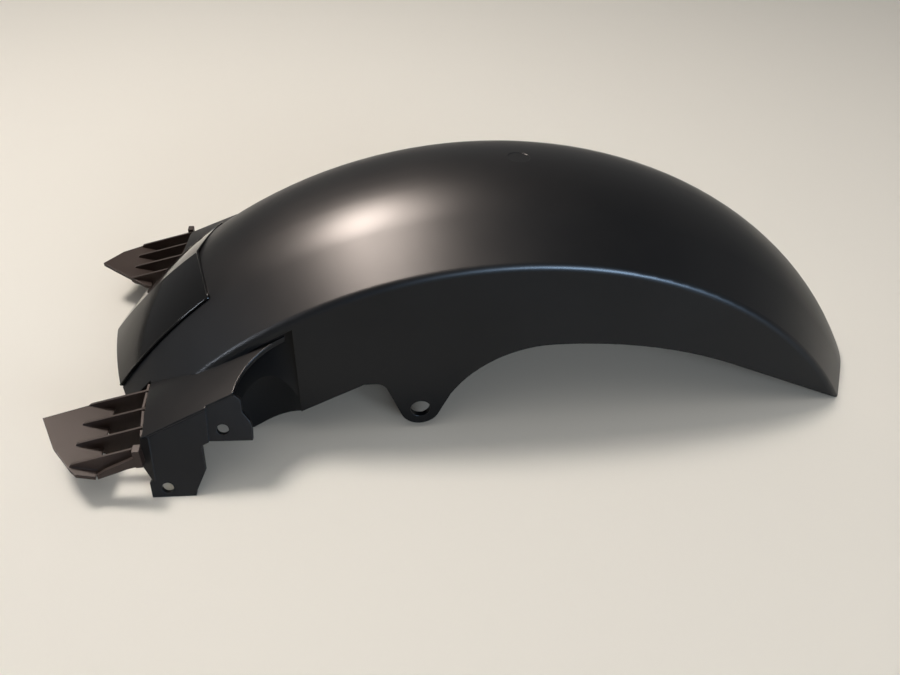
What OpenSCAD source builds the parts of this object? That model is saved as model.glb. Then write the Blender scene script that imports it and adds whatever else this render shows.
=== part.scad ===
// Front mudguard for a motorcycle, standing on a flat plane.
// +X points to the tail end, +Y across the wheel, +Z up. The wheel axis runs along Y.

/* [View] */
// Piece to draw

/* [Arch] */
// Radius of the fold between crown and side wall, about the wheel centre
fold_radius = 296; // [285:1:310]
// Height of the standing plane above the wheel centre
plane_above_centre = 173.27; // [165:1:182]
// Half of the width over the side walls
half_width = 81.4; // [76:0.5:88]
// Radius of the crown curve across the width
crown_radius = 106.1; // [95:1:120]
// Slope of the flanks beside the crown curve
flank_angle = 27.6; // [24:0.5:31]
// Radius of the rounded fold
fold_round = 5.5; // [4:0.5:7]
// Thickness of the moulded skin
skin = 3; // [2.5:0.1:3.5]
// Angle of the nose end, counted up from the tail direction
nose_end = 141.4; // [139:0.5:143]

/* [Side wall] */
// Height of the wall's lower edge at the middle of its arch
edge_height = 64; // [60:1:68]
// Radius of the lower edge behind the middle
edge_rear_radius = 314; // [290:2:340]
// Radius of the lower edge in front of the middle
edge_front_radius = 74; // [70:1:78]
// Bore of the hole in the hanging tab
tab_hole = 13; // [11:0.5:14]
// Radius of the tab's round end
tab_radius = 12.8; // [12:0.2:14]
// Thickness of the tab
tab_skin = 4; // [3.6:0.2:5]

/* [Leg recess] */
// Distance of the recess edge in front of the wheel centre
recess_edge = 131; // [128:0.5:134]
// Radius of the lower hollow beside the leg
hollow_radius = 40; // [38:0.5:43]
// Lean of the face above the hollow
face_lean = 16.4; // [13:0.2:20]
// Turn of the face above the hollow
face_turn = 12.3; // [9:0.2:15]

/* [Ledge] */
// Half of the width over the ledges
ledge_half = 112; // [109:0.5:114]
// Radius of the ledge's crowned top
ledge_crown = 121.65; // [112:1:135]
// Rise of the ledge toward the tail
ledge_rise = 25.6; // [24:0.2:27]
// Radius of the leg cut-out in the ledge
leg_radius = 31; // [29:0.5:32]

/* [Nose panel] */
// Half width of the panel at its rear edge
panel_half = 44.5; // [40:0.5:48]
// Height of the panel above the crown at its edges
panel_proud = 0.9; // [0.5:0.1:1.4]
// Width of the flange behind the opening's rim
panel_flange = 5; // [4:0.5:7]

/* [Winglet] */
// Length of the winglet from its root to its tip
wing_length = 59.5; // [56:0.5:62]
// Slope of the winglet's front plate
wing_slope = 15; // [12:0.5:18]
// Spacing of the upright vanes
vane_pitch = 16; // [14:0.5:17]
// Thickness of each vane
vane_skin = 1.5; // [1.3:0.1:2.2]

/* [Bracket] */
// Diameter of the two screw holes
bracket_hole = 7; // [6.4:0.1:7.4]
// Thickness of the bracket plate
bracket_skin = 3; // [2.5:0.1:4]
// Flare of the plate from upright
bracket_flare = 16.6; // [14:0.2:19]

/* [Hidden] */
$fn = 96;
big = 700;
wheel_z = -plane_above_centre;
knee_y = crown_radius * sin(flank_angle);
crown_top = fold_radius + (half_width - knee_y) * tan(flank_angle) + crown_radius * (1 - cos(flank_angle));
crown_centre = crown_top - crown_radius;
fold_y = half_width - fold_round;
fold_x = fold_radius + fold_round * tan(flank_angle) - fold_round / cos(flank_angle);
wall_root = 176;
tail_x = sqrt(crown_top * crown_top - wheel_z * wheel_z);
wing_root = -222;
wing_tip = wing_root - wing_length;
shift_x = -(tail_x + wing_tip) / 2;
root_out = -221.4;
ledge_front = -218.3;
plate_skin = 2.5;
flange_skin = 1.6;
flange_in = -222.8;
flange_out = -219.9;
vane_out = -219.5;
flange_top = 34.4;
post_side = 4;
post_out = -218.6;
post_foot = 25;
post_top = 38;
plate_low = 21.594;
plate_rear = reach_x(0.391);
plate_run = (plate_rear - wing_tip) / cos(wing_slope) + 20;
leg_y = half_width + 30.6;
facet_y = half_width - 8.6;
ledge_in = half_width - 1.4;
ledge_nose = half_width - 19.1;
ledge_mid = half_width + 14.78;
plate_y = ledge_half + 12.1;

// Outline of the lower edge of the walls, seen from the side
edge_mid = 27;
run_angle = 23.4;
run_x = edge_mid + edge_rear_radius * sin(run_angle);
run_z = edge_height - edge_rear_radius * (1 - cos(run_angle));
tail_reach = 110;
tab_x = -55.8;
tab_z = 16.6;
front_turn = 59.4;
turn_x = edge_mid - edge_front_radius * sin(front_turn);
turn_z = edge_height - edge_front_radius * (1 - cos(front_turn));
tab_lean = 21.6;
tab_right = 27;
tab_top = 40.1;
tab_fillet = 8;
fillet_z = tab_top - tab_fillet;
left_x = tab_x - tab_radius * cos(tab_lean);
left_z = tab_z - tab_radius * sin(tab_lean);
right_x = tab_x + (tab_radius - 0.05) * cos(tab_right);
right_z = tab_z - (tab_radius - 0.05) * sin(tab_right);
fillet_x = left_x - (fillet_z - left_z) * tan(tab_lean) - tab_fillet / cos(tab_lean);
front_base = 1.2;
front_clear = 24;
recess_left = -190;
plate_turn = 2.5;
step_x = -182;
step_back = 1.2;
lip = 1.2;
return_turn = 30;
return_reach = 10.6;
hole_places = [[-173.9, 41], [-208.8, 5.8]];

// Nose opening, seen from above
panel_rear_x = -181.3;
panel_rear_mid = -192.3;
panel_front_x = -262;
panel_widen = 0.075;
panel_fit = 0.4;

module arch_section(o) {
    // closed section of the arch, moved inward by o
    k = fold_round - o;
    cf = cos(flank_angle);
    sf = sin(flank_angle);
    kx = crown_centre + (crown_radius - o) * cf;
    ky = (crown_radius - o) * sf;
    polygon([
        [wall_root - o, -(half_width - o)],
        [fold_x, -(half_width - o)],
        [fold_x + k * cf, -(fold_y + k * sf)],
        [kx, -ky],
        [kx, ky],
        [fold_x + k * cf, fold_y + k * sf],
        [fold_x, half_width - o],
        [wall_root - o, half_width - o]
    ]);
    for (s = [-1, 1])
        translate([fold_x, s * fold_y])
            circle(r = k);
    intersection() {
        translate([crown_centre, 0])
            circle(r = crown_radius - o, $fn = 180);
        translate([kx - 1, -ky])
            square([crown_radius, 2 * ky]);
    }
}

module about_wheel(a0, a1) {
    // turns a section about the wheel axis between two angles
    translate([0, 0, wheel_z])
        rotate([90, 0, 0])
            rotate([0, 0, a0])
                rotate_extrude(angle = a1 - a0, $fn = 240)
                    children();
}

module arch(o) {
    about_wheel(30 - o / 10, nose_end + o / 10)
        arch_section(o);
}

module across(h) {
    // side outline turned into a body across the width
    rotate([90, 0, 0])
        linear_extrude(height = 2 * h, center = true)
            children();
}

module edge_outline() {
    // space below the walls' lower edge
    difference() {
        union() {
            polygon([
                [run_x + tail_reach, -60],
                [run_x + tail_reach, run_z - tail_reach * tan(run_angle)],
                [run_x, run_z],
                [edge_mid, run_z],
                [turn_x, turn_z],
                [turn_x, -60]
            ]);
            intersection() {
                translate([edge_mid, edge_height - edge_rear_radius])
                    circle(r = edge_rear_radius, $fn = 360);
                translate([edge_mid, run_z - 2])
                    square([run_x - edge_mid, edge_height]);
            }
            intersection() {
                translate([edge_mid, edge_height - edge_front_radius])
                    circle(r = edge_front_radius, $fn = 180);
                translate([turn_x - 3, turn_z - 30])
                    square([edge_mid - turn_x + 3.01, 2 * edge_height]);
            }
            polygon([
                [turn_x + 1, -60],
                [turn_x + 1, turn_z],
                [tab_x, tab_z],
                [left_x, left_z],
                [fillet_x + tab_fillet * cos(tab_lean), fillet_z + tab_fillet * sin(tab_lean)],
                [fillet_x, fillet_z],
                [fillet_x, tab_top],
                [-91.2, tab_top],
                [-recess_edge, 20.9],
                [-158.5, 3.4],
                [-163, front_base],
                [-169, front_base + 3],
                [-170.5, front_clear],
                [wing_root, front_clear],
                [wing_root, -60]
            ]);
            translate([fillet_x, fillet_z])
                circle(r = tab_fillet, $fn = 64);
        }
        translate([tab_x, tab_z])
            circle(r = tab_radius);
        polygon([
            [right_x, right_z],
            [turn_x + (turn_x - right_x) / 8, turn_z + (turn_z - right_z) / 8],
            [turn_x - 20, turn_z + 40],
            [left_x, left_z],
            [tab_x, tab_z]
        ]);
    }
}

module panel_outline(g) {
    // opening in the nose seen from above, grown by g
    f = panel_half + panel_widen * (panel_rear_x - panel_front_x) + g;
    polygon([
        [panel_rear_x + g, -panel_half - g],
        [panel_rear_mid + g, 0],
        [panel_rear_x + g, panel_half + g],
        [panel_front_x, f],
        [panel_front_x, -f]
    ]);
}

module leg_air(g) {
    // room for the fork leg on the -Y side, grown by g
    intersection() {
        union() {
            translate([-156, -leg_y, -30])
                cylinder(r = hollow_radius + g, h = 90);
            translate([-148.2, -facet_y, 44.4])
                rotate([-face_lean, 0, -face_turn])
                    translate([-90, -90 + g, -90])
                        cube([180, 90, 180]);
        }
        translate([recess_left - g, -130, -30])
            cube([-recess_edge - recess_left + 2 * g, 120, 140]);
        translate([0, 0, wheel_z])
            rotate([90, 0, 0])
                cylinder(r = fold_x - 2 + g, h = 300, center = true, $fn = 240);
    }
}

module ledge_top(o) {
    // crowned top of the ledge on the -Y side, moved inward by o
    translate([-190, -ledge_mid, -80.78 + 121.65 - ledge_crown])
        rotate([0, -ledge_rise, 17])
            rotate([0, 90, 0])
                cylinder(r = ledge_crown - o, h = 260 + 20 * o, center = true, $fn = 180);
}

module ledge_outline() {
    // ledge seen from above, its inner edge buried in the skin
    difference() {
        polygon([
            [wing_root + 0.2, -ledge_nose],
            [ledge_front, -ledge_half - 4],
            [-160, -ledge_half - 4],
            [-136, -ledge_half + 4],
            [-136, -ledge_in],
            [-189.5, -ledge_in]
        ]);
        translate([-135, -leg_y])
            circle(r = leg_radius);
    }
}

module plate_zones(d) {
    // space outside the bracket's front and rear faces, moved inward by d
    on_plate(d)
        translate([-260, -20, 0])
            cube([260 + step_x, 120, 40]);
    on_plate(d + step_back)
        translate([step_x, -20, 0])
            cube([60, 120, 40]);
}

module ledge() {
    difference() {
        intersection() {
            difference() {
                ledge_top(0);
                ledge_top(skin);
            }
            translate([0, 0, 10])
                linear_extrude(height = 100)
                    ledge_outline();
        }
        // outer edge flush with the bracket, and the rebate that seats it
        plate_zones(0);
        intersection() {
            plate_zones(bracket_skin);
            ledge_top(lip);
        }
    }
}

module below_plane() {
    // everything under the standing plane
    translate([-big, -big, -big])
        cube([2 * big, 2 * big, big]);
}

module trim() {
    // flat tail cut, lower edge of the walls and the corners at the winglets
    below_plane();
    across(half_width + 2)
        edge_outline();
    for (s = [-1, 1])
        translate([wing_root - 100, s * 112 - 50, -1])
            cube([100, 100, 120]);
}

module recess_wall() {
    // wall behind the leg room on the -Y side, trimmed like the arch
    difference() {
        intersection() {
            leg_air(skin);
            arch(0);
        }
        leg_air(0);
        below_plane();
        across(half_width + 2)
            edge_outline();
    }
}

module tab_pad() {
    // thickening of the tab on the inner face of the -Y wall
    translate([tab_x, -half_width + tab_skin, tab_z])
        rotate([90, 0, 0])
            difference() {
                cylinder(r = tab_radius, h = tab_skin - skin + 0.5);
                translate([0, 0, -1])
                    cylinder(d = tab_hole, h = tab_skin);
            }
}

module both_sides() {
    children();
    mirror([0, 1, 0])
        children();
}

module shell() {
    color([0.06, 0.06, 0.065])
    translate([shift_x, 0, 0])
    union() {
        difference() {
            arch(0);
            arch(skin);
            both_sides()
                leg_air(0);
            trim();
            // opening for the nose panel
            linear_extrude(height = 200)
                panel_outline(0);
            // tab holes
            translate([tab_x, 0, tab_z])
                rotate([90, 0, 0])
                    cylinder(d = tab_hole, h = 300, center = true);
            // shallow round spot on the crown
            translate([0, 0, wheel_z])
                rotate([0, 2.2, 0])
                    translate([0, -1.4, crown_top - 0.3])
                        cylinder(d = 14, h = 10);
        }
        both_sides() {
            recess_wall();
            ledge();
            tab_pad();
        }
    }
}

module ridge_section(o) {
    intersection() {
        translate([108.4 + crown_top - 324.93, 26.9])
            circle(r = 219 + panel_proud - o, $fn = 360);
        translate([108.4 + crown_top - 324.93, -26.9])
            circle(r = 219 + panel_proud - o, $fn = 360);
        translate([230, -70])
            square([200, 140]);
    }
}

module nose_panel() {
    color([0.02, 0.02, 0.022])
    translate([shift_x, 0, 0])
    union() {
        intersection() {
            difference() {
                about_wheel(118, nose_end - 0.1)
                    ridge_section(0);
                arch(skin + 1);
            }
            linear_extrude(height = 200)
                panel_outline(-panel_fit);
        }
        intersection() {
            difference() {
                about_wheel(118, nose_end - 0.1)
                    arch_section(skin);
                arch(skin + 2);
            }
            linear_extrude(height = 200)
                panel_outline(panel_flange);
        }
    }
}

// place along the winglet, from 0 at its root to 1 at its tip
function reach_x(share) = wing_root - share * wing_length;

module wing_outline() {
    // winglet seen from above, its root slanted like the front edge of the ledge
    polygon([
        [wing_tip, -83.6],
        [reach_x(0.834), -104.6],
        [reach_x(0.639), -119.2],
        [reach_x(0.58), -122.4],
        [reach_x(0.314), -122.8],
        [root_out, -123],
        [vane_out, -119],
        [flange_out, -107],
        [wing_root, -61],
        [reach_x(0.454), -62.5]
    ]);
}

module wing_column() {
    translate([0, 0, 5])
        linear_extrude(height = 60)
            wing_outline();
}

module wing() {
    // front plate, sloping down toward its rear edge and its outer side
    intersection() {
        wing_column();
        translate([plate_rear, -83.6, plate_low])
            rotate([3, wing_slope, 0])
                translate([-plate_run, -60, -plate_skin])
                    cube([plate_run, 100, plate_skin]);
    }
    // upright vanes from the plate to the root
    intersection() {
        wing_column();
        for (i = [0:3])
            translate([0, -69 - i * vane_pitch, 0])
                across(vane_skin / 2)
                    polygon([
                        [reach_x(0.672), 23.5 - 0.6 * i],
                        [reach_x(0.622), 26.8 - 0.3 * i],
                        [root_out + 0.6 * i, 36],
                        [root_out + 0.6 * i, 19 + 0.7 * i],
                        [reach_x(0.37), 15.5],
                        [reach_x(0.471), 18.5]
                    ]);
    }
    // outer web that follows the edge behind the plate
    intersection() {
        translate([0, 0, 5])
            linear_extrude(height = 60)
                difference() {
                    wing_outline();
                    translate([0, 2.2])
                        wing_outline();
                }
        translate([0, -110, 0])
            across(30)
                polygon([
                    [reach_x(0.387), 17.5],
                    [reach_x(0.387), 20.5],
                    [reach_x(0.303), 24],
                    [reach_x(0.067), 31],
                    [root_out, 33.5],
                    [root_out, 27],
                    [reach_x(0.168), 22.5]
                ]);
    }
    // root flange against the ledge and post at its outer end
    intersection() {
        translate([0, 0, 5])
            linear_extrude(height = 60)
                polygon([
                    [flange_in - flange_skin, -61.5],
                    [flange_in, -61.5],
                    [flange_in, -82],
                    [flange_out, -107],
                    [flange_out - flange_skin, -107],
                    [flange_in - flange_skin, -82]
                ]);
        wing_column();
        translate([-240, 0, 0])
            rotate([90, 0, 90])
                linear_extrude(height = 40)
                    polygon([
                        [-60, flange_top],
                        [-125, flange_top],
                        [-125, 29],
                        [-60, 19]
                    ]);
    }
    translate([post_out - post_side, -123, post_foot])
        cube([post_side, 5.8, post_top - post_foot]);
}

module winglet_left() {
    color([0.25, 0.2, 0.19])
    translate([shift_x, 0, 0])
        wing();
}

module winglet_right() {
    color([0.25, 0.2, 0.19])
    translate([shift_x, 0, 0])
        mirror([0, 1, 0])
            wing();
}

module on_plate(d) {
    // places an outline on the flared plate, outer face moved inward by d
    translate([-217, -plate_y, 0])
        rotate([90 - bracket_flare, 0, -plate_turn])
            translate([217, 0, -d])
                children();
}

module plate(d) {
    on_plate(bracket_skin + d)
        linear_extrude(height = bracket_skin)
            children();
}

module bracket() {
    k = 1 / cos(bracket_flare);
    difference() {
        intersection() {
            union() {
                plate(0)
                    polygon([
                        [-217.6, -12],
                        [-218.6, 9.7 * k],
                        [-216, 11 * k],
                        [-215.7, 70],
                        [-181.8, 70],
                        [-182.2, 34 * k],
                        [-186.4, 32 * k],
                        [-186, 16 * k],
                        [-192.9, 2],
                        [-193.8, -12]
                    ]);
                plate(step_back)
                    polygon([
                        [-184, 34 * k],
                        [-157.5, 33.6 * k],
                        [-157.1, 41.2 * k],
                        [-158.1, 45.4 * k],
                        [-162, 51.4 * k],
                        [-162.3, 58.7 * k],
                        [-165.6, 62 * k],
                        [-165.6, 80],
                        [-184, 80]
                    ]);
                // front return, bent inward and tapering down to the foot
                translate([-215.9, -124.1, 0])
                    rotate([-bracket_flare, 0, 0])
                        rotate([90, 0, -return_turn])
                            translate([0, 0, -bracket_skin])
                                linear_extrude(height = bracket_skin)
                                polygon([
                                    [1, 10.8 * k],
                                    [-1, 10.8 * k],
                                    [-return_reach, 24 * k],
                                    [-return_reach * 0.6, 26 * k],
                                    [-return_reach * 0.5, 37.4 * k],
                                    [-1, 44 * k],
                                    [1, 44 * k]
                                ]);
            }
            ledge_top(lip);
            translate([-260, -160, 0])
                cube([140, 100, 90]);
        }
        for (p = hole_places)
            on_plate(20)
                translate([p[0], p[1] * k, 0])
                    cylinder(d = bracket_hole, h = 40, $fn = 48);
    }
}

module bracket_left() {
    color([0.12, 0.1, 0.1])
    translate([shift_x, 0, 0])
        bracket();
}

module bracket_right() {
    color([0.12, 0.1, 0.1])
    translate([shift_x, 0, 0])
        mirror([0, 1, 0])
            bracket();
}

shell();
nose_panel();
winglet_left();
winglet_right();
bracket_left();
bracket_right();
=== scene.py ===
import math

import bpy
from mathutils import Matrix, Vector


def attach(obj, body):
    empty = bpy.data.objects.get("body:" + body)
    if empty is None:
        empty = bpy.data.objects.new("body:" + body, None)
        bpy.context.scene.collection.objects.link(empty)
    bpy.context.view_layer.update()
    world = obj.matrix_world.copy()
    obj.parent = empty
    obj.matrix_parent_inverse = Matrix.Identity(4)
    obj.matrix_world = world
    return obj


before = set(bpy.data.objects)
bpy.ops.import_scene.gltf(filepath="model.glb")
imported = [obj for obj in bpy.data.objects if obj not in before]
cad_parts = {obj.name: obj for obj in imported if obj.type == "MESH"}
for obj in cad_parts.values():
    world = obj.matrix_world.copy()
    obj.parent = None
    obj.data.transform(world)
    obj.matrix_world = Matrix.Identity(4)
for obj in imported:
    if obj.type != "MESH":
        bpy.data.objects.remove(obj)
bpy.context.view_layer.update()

scene = bpy.context.scene
scene.view_settings.view_transform = "Standard"

# The viewpoint, worked out from the arch, the holes and the feet: radians, pixels and metres.
CAMERA_PITCH = 0.677412
CAMERA_ROLL = 0.0465701
CAMERA_YAW = -0.160464
CAMERA_PLACE = (-0.092624, -0.435013, 0.362355)
FOCAL_PX = 766.197
PHOTO_WIDTH_PX = 900
SENSOR_MM = 36

# Seen roundness of every hard edge, in metres, and how finely it is sampled.
EDGE_ROUND = 0.0006
EDGE_SAMPLES = 6

# Where the lamps stand, as directions, and what they aim at, in metres.
OVERHEAD = (-0.36, 0.25, 0.9)
OVERHEAD_DISTANCE = 1.5
WINDOW_DISTANCE = 2.4
CROWN = (-0.08, -0.04, 0.13)
NOSE = (-0.2, -0.05, 0.1)
MIDDLE = (-0.03, 0, 0.06)

# The trim is placed as the solids are, in mm about the wheel axis.
SHIFT_X = 3.311
AXLE_Z = -173.27
RIDGE_HEIGHT = 108.4
RIDGE_SIDE = 26.9
RIDGE_RADIUS = 219.9
PANEL_HALF = 44.5
PANEL_REAR_X = -181.3
PANEL_WIDEN = 0.075
LEG_PLACE = (-135, -112)
LEG_RADIUS = 31


def fitted_camera():
    """The camera at the photograph's viewing angle."""
    forward = Vector((0, math.cos(CAMERA_PITCH), -math.sin(CAMERA_PITCH)))
    level = Vector((1, 0, 0))
    upright = Vector((0, math.sin(CAMERA_PITCH), math.cos(CAMERA_PITCH)))
    right = math.cos(CAMERA_ROLL) * level + math.sin(CAMERA_ROLL) * upright
    up = -math.sin(CAMERA_ROLL) * level + math.cos(CAMERA_ROLL) * upright
    yaw = Matrix.Rotation(CAMERA_YAW, 3, "Z")
    turn = Matrix((yaw @ right, yaw @ up, -(yaw @ forward))).transposed()
    data = bpy.data.cameras.new("camera")
    data.sensor_fit = "HORIZONTAL"
    data.sensor_width = SENSOR_MM
    data.lens = FOCAL_PX / PHOTO_WIDTH_PX * SENSOR_MM
    data.clip_start = 0.01
    cam = bpy.data.objects.new("camera", data)
    cam.matrix_world = Matrix.Translation(CAMERA_PLACE) @ turn.to_4x4()
    scene.collection.objects.link(cam)
    scene.camera = cam


class Shader:
    """A material's node tree with short calls for its usual nodes."""

    def __init__(self, name):
        self.mat = bpy.data.materials.new(name)
        self.mat.use_nodes = True
        self.tree = self.mat.node_tree
        self.tree.nodes.clear()
        self.out = self.tree.nodes.new("ShaderNodeOutputMaterial")
        self.bsdf = self.tree.nodes.new("ShaderNodeBsdfPrincipled")
        self.link(self.bsdf.outputs[0], self.out.inputs["Surface"])
        self.coord = self.tree.nodes.new("ShaderNodeTexCoord")

    def link(self, a, b):
        self.tree.links.new(a, b)

    def put(self, **values):
        """Sets sockets that are the same all over the surface."""
        for key, value in values.items():
            self.bsdf.inputs[key.replace("_", " ")].default_value = value

    def noise(self, scale, detail=2.0, rough=0.5):
        node = self.tree.nodes.new("ShaderNodeTexNoise")
        node.inputs["Scale"].default_value = scale
        node.inputs["Detail"].default_value = detail
        node.inputs["Roughness"].default_value = rough
        self.link(self.coord.outputs["Object"], node.inputs["Vector"])
        return node.outputs["Fac"]

    def spread(self, source, low, high):
        """Stretches the middle of a noise over a range."""
        node = self.tree.nodes.new("ShaderNodeMapRange")
        node.inputs["From Min"].default_value = 0.3
        node.inputs["From Max"].default_value = 0.7
        node.inputs["To Min"].default_value = low
        node.inputs["To Max"].default_value = high
        self.link(source, node.inputs["Value"])
        return node.outputs["Result"]

    def add(self, a, b):
        node = self.tree.nodes.new("ShaderNodeMath")
        node.operation = "ADD"
        self.link(a, node.inputs[0])
        self.link(b, node.inputs[1])
        return node.outputs[0]

    def colour(self, source, dark, light):
        """Base colour that wanders between two colours with a noise."""
        node = self.tree.nodes.new("ShaderNodeMix")
        node.data_type = "RGBA"
        node.inputs["A"].default_value = (*dark, 1)
        node.inputs["B"].default_value = (*light, 1)
        self.link(self.spread(source, 0, 1), node.inputs["Factor"])
        self.link(node.outputs["Result"], self.bsdf.inputs["Base Color"])

    def roughness(self, value):
        self.link(value, self.bsdf.inputs["Roughness"])

    def bump(self, height, distance, strength):
        """Relief from a noise, on edges that look slightly rounded."""
        rounded = self.tree.nodes.new("ShaderNodeBevel")
        rounded.samples = EDGE_SAMPLES
        rounded.inputs["Radius"].default_value = EDGE_ROUND
        node = self.tree.nodes.new("ShaderNodeBump")
        node.inputs["Distance"].default_value = distance
        node.inputs["Strength"].default_value = strength
        self.link(height, node.inputs["Height"])
        self.link(rounded.outputs[0], node.inputs["Normal"])
        self.link(node.outputs[0], self.bsdf.inputs["Normal"])


def satin_paint():
    """Satin black paint: a very fine stipple and slow changes of gloss."""
    s = Shader("satin_paint")
    s.put(IOR=1.27)
    slow = s.noise(14, 3)
    fine = s.noise(2400, 2)
    s.colour(slow, (0.0034, 0.0038, 0.0048), (0.0048, 0.005, 0.0056))
    s.roughness(s.add(s.spread(slow, 0.33, 0.38), s.spread(fine, -0.02, 0.02)))
    s.bump(fine, 0.00002, 0.6)
    return s.mat


def gloss_insert():
    """Gloss black insert: deeper and smoother, with a faint orange-peel ripple."""
    s = Shader("gloss_insert")
    s.put(IOR=1.3)
    peel = s.noise(320, 2)
    slow = s.noise(20, 2)
    s.colour(slow, (0.0022, 0.0022, 0.0027), (0.0032, 0.003, 0.0033))
    s.roughness(s.spread(slow, 0.07, 0.11))
    s.bump(peel, 0.00003, 0.5)
    return s.mat


def raw_moulding():
    """Bare moulded plastic, warm and dark, with a fine grain."""
    s = Shader("raw_moulding")
    s.put(IOR=1.27)
    grain = s.noise(1500, 3, 0.6)
    slow = s.noise(30, 3)
    s.colour(slow, (0.027, 0.0165, 0.0128), (0.035, 0.0218, 0.0168))
    s.roughness(s.spread(slow, 0.4, 0.52))
    s.bump(grain, 0.00005, 0.7)
    return s.mat


def bracket_moulding():
    """Satin black plates below the ledges."""
    s = Shader("bracket_moulding")
    s.put(IOR=1.27)
    grain = s.noise(1800, 2)
    slow = s.noise(25, 3)
    s.colour(slow, (0.0055, 0.0047, 0.0045), (0.0078, 0.0064, 0.006))
    s.roughness(s.spread(slow, 0.4, 0.48))
    s.bump(grain, 0.00003, 0.6)
    return s.mat


def seam_shade():
    """Painted shade: a near-black material that stands in for the shadow in a narrow gap."""
    s = Shader("seam_shade")
    s.put(IOR=1.2, Roughness=0.8)
    s.colour(s.noise(60), (0.0012, 0.0012, 0.0014), (0.002, 0.002, 0.002))
    return s.mat


def pale_floor():
    bpy.ops.mesh.primitive_plane_add(size=12, location=(0, 0, -0.0004))
    floor = bpy.context.object
    floor.name = "floor"
    s = Shader("pale_floor")
    s.put(Roughness=0.8, IOR=1.0)
    s.bsdf.inputs["Base Color"].default_value = (0.78, 0.745, 0.68, 1)
    floor.data.materials.append(s.mat)


def studio_world():
    """A plain soft light from all round, which shows as a pale backdrop to the camera."""
    world = bpy.data.worlds.new("world")
    scene.world = world
    world.use_nodes = True
    tree = world.node_tree
    light = tree.nodes["Background"]
    light.inputs["Color"].default_value = (1, 0.99, 0.975, 1)
    light.inputs["Strength"].default_value = 0.24
    seen = tree.nodes.new("ShaderNodeBackground")
    seen.inputs["Color"].default_value = (0.8, 0.78, 0.75, 1)
    path = tree.nodes.new("ShaderNodeLightPath")
    mix = tree.nodes.new("ShaderNodeMixShader")
    shows = path.outputs["Is Camera Ray"]
    for ray, share in (("Is Glossy Ray", 0.12), ("Is Transmission Ray", 1)):
        part = tree.nodes.new("ShaderNodeMath")
        part.operation = "MULTIPLY"
        part.inputs[1].default_value = share
        either = tree.nodes.new("ShaderNodeMath")
        either.operation = "MAXIMUM"
        tree.links.new(path.outputs[ray], part.inputs[0])
        tree.links.new(shows, either.inputs[0])
        tree.links.new(part.outputs[0], either.inputs[1])
        shows = either.outputs[0]
    tree.links.new(shows, mix.inputs[0])
    tree.links.new(light.outputs[0], mix.inputs[1])
    tree.links.new(seen.outputs[0], mix.inputs[2])
    tree.links.new(mix.outputs[0], tree.nodes["World Output"].inputs["Surface"])


def lamp(name, towards, distance, size, watts, colour, aim=MIDDLE, gloss_only=False):
    """A rectangular lamp that looks at its aim; one for gloss only leaves the floor unlit."""
    data = bpy.data.lights.new(name, "AREA")
    data.shape = "RECTANGLE"
    data.size, data.size_y = size
    data.energy = watts
    data.color = colour
    o = bpy.data.objects.new(name, data)
    o.location = Vector(aim) + Vector(towards).normalized() * distance
    o.rotation_euler = (-Vector(towards)).to_track_quat("-Z", "Y").to_euler()
    o.visible_diffuse = not gloss_only
    scene.collection.objects.link(o)


def lights():
    lamp("overhead", OVERHEAD, OVERHEAD_DISTANCE, (0.36, 0.36), 16.5, (1, 0.94, 0.88), aim=CROWN)
    lamp("overhead_gloss", OVERHEAD, OVERHEAD_DISTANCE, (0.32, 0.3), 120, (1, 0.84, 0.74),
         aim=CROWN, gloss_only=True)
    lamp("front_window", (0.42, -0.9, 0.32), WINDOW_DISTANCE, (1.2, 0.5), 20, (0.8, 0.9, 1))
    lamp("window_gloss", (0.46, -0.86, 0.26), WINDOW_DISTANCE, (1.3, 0.36), 150, (0.46, 0.69, 1),
         gloss_only=True)
    lamp("nose_gloss", (-0.87, -0.25, 0.38), 2.2, (0.3, 0.3), 22, (0.8, 0.88, 1),
         aim=NOSE, gloss_only=True)
    lamp("top_fill", (-0.1, -0.1, 1), 2.6, (2.4, 2.4), 12, (1, 0.98, 0.95))


def tube(name, points, radius, mat):
    """A thin round bead along points given in mm about the wheel axis."""
    curve = bpy.data.curves.new(name, "CURVE")
    curve.dimensions = "3D"
    curve.bevel_depth = radius / 1000
    curve.bevel_resolution = 3
    curve.use_fill_caps = True
    spline = curve.splines.new("POLY")
    spline.points.add(len(points) - 1)
    for point, (x, y, z) in zip(spline.points, points):
        point.co = ((x + SHIFT_X) / 1000, y / 1000, z / 1000, 1)
    o = bpy.data.objects.new(name, curve)
    scene.collection.objects.link(o)
    bpy.context.view_layer.objects.active = o
    bpy.ops.object.select_all(action="DESELECT")
    o.select_set(True)
    bpy.ops.object.convert(target="MESH")
    o = bpy.context.object
    for polygon in o.data.polygons:
        polygon.use_smooth = True
    o.data.materials.clear()
    o.data.materials.append(mat)
    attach(o, "root")


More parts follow.
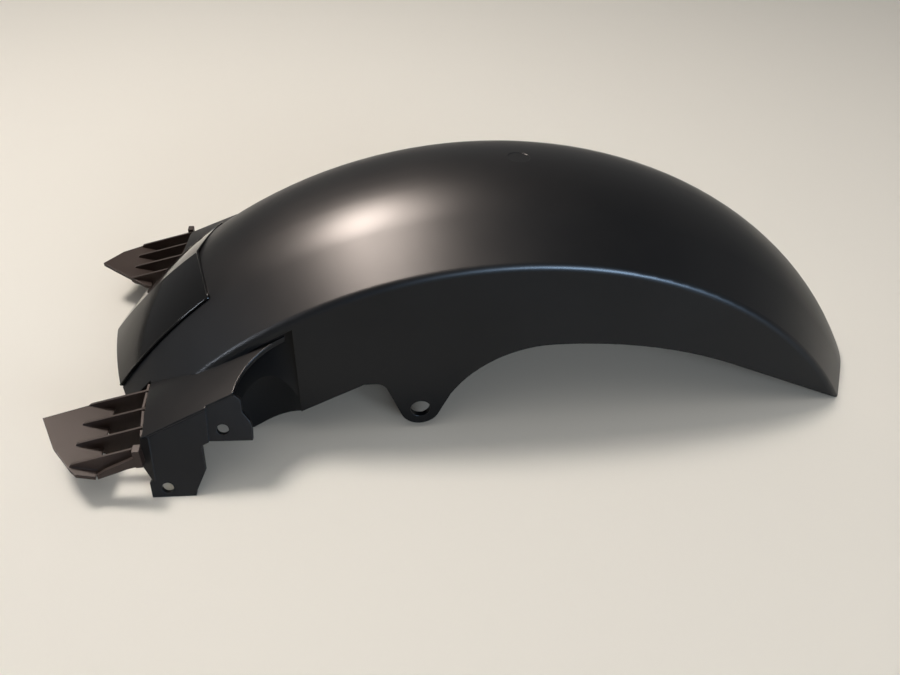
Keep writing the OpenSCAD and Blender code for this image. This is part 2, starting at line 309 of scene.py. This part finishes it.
def on_panel(x, y, sink=0.3):
    """A point on the nose panel's outer surface, sunk a little toward the axle."""
    r = RIDGE_HEIGHT + math.sqrt(RIDGE_RADIUS ** 2 - (abs(y) + RIDGE_SIDE) ** 2) - sink
    return x, y, math.sqrt(r * r - x * x) + AXLE_Z


def panel_lip(mat):
    """The rounded rim that shows as a thin bright line round the nose panel."""
    half = PANEL_HALF - 0.4
    side = [-245.4 + 63.5 * i / 40 for i in range(41)]
    near = [on_panel(x, -(half + PANEL_WIDEN * (PANEL_REAR_X - x))) for x in side]
    rear = [on_panel(-192.7 + 11 * abs(y) / PANEL_HALF, y) for y in range(-42, 43, 3)]
    far = [(x, -y, z) for x, y, z in reversed(near)]
    tube("panel_lip", near + rear + far, 0.8, mat)


def ledge_rim(name, side, mat):
    """The rounded rear rim of a ledge, where it curves in round the leg recess."""
    points = []
    for i in range(23):
        t = math.radians(169.5 - 64 * i / 22)
        x = LEG_PLACE[0] + LEG_RADIUS * math.cos(t)
        y = LEG_PLACE[1] + LEG_RADIUS * math.sin(t)
        points.append((x, y * side, 155.2 + 0.42037 * x + 0.2155 * y))
    tube(name, points, 0.6, mat)


def bracket_seam_shade(name, side, mat):
    """A near-black bead of painted shade along the narrow gap where the plate seats under the
    ledge's lip.
    """
    points = []
    for i in range(15):
        run = 34.6 * i / 14
        x = -216.2 + run
        z = 38.25 + 0.448 * run
        y = -124.1 + 0.298 * z - 0.044 * (x + 217)
        points.append((x, y * side, z))
    tube(name, points, 0.38, mat)


fitted_camera()
pale_floor()
studio_world()
lights()

satin = satin_paint()
gloss = gloss_insert()
raw = raw_moulding()
plate = bracket_moulding()
shade = seam_shade()
finishes = {
    "shell": satin,
    "nose_panel": gloss,
    "winglet_left": raw,
    "winglet_right": raw,
    "bracket_left": plate,
    "bracket_right": plate,
}
for node, mat in finishes.items():
    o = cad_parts[node]
    o.data.materials.clear()
    o.data.materials.append(mat)

# The near side, toward the camera, is the left one.
SIDES = {"left": 1, "right": -1}
panel_lip(gloss)
for label, side in SIDES.items():
    ledge_rim("ledge_rim_" + label, side, satin)
for label, side in SIDES.items():
    # Near-black beads along the bracket tops are painted shade, standing in for the shadow in
    # the gap.
    bracket_seam_shade("bracket_seam_shade_" + label, side, shade)
